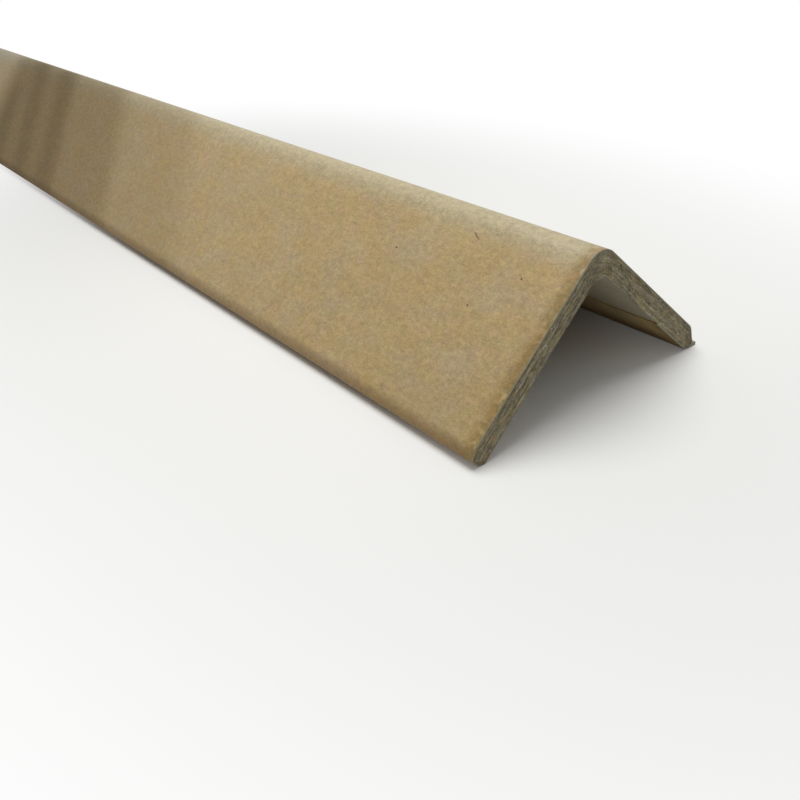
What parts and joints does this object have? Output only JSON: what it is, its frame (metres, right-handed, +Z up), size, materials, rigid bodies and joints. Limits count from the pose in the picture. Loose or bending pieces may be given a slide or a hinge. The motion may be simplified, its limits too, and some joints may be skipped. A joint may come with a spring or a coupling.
{
  "type": "paper edge protector",
  "caption": "Long right-angled guard of laminated grey board under brown kraft paper, with a rounded bend and pressed free edges, laid over a load's corner.",
  "frame": {"origin": "centre of the footprint, on the surface that the two free edges stand on", "axes": "+X along the length, towards the end with the torn scrap; +Z up towards the rounded bend; the front leg falls towards -Y and the back leg towards +Y"},
  "size_m": [0.4, 0.0718, 0.0353],
  "materials": {
    "kraft_liner": "matt brown kraft paper, calendered, with fine fibre flecks",
    "grey_board": "raw recycled grey board, rough where it is cut"
  },
  "bodies": {
    "root": {"edge_protector": "kraft_liner"}
  },
  "joints": []
}
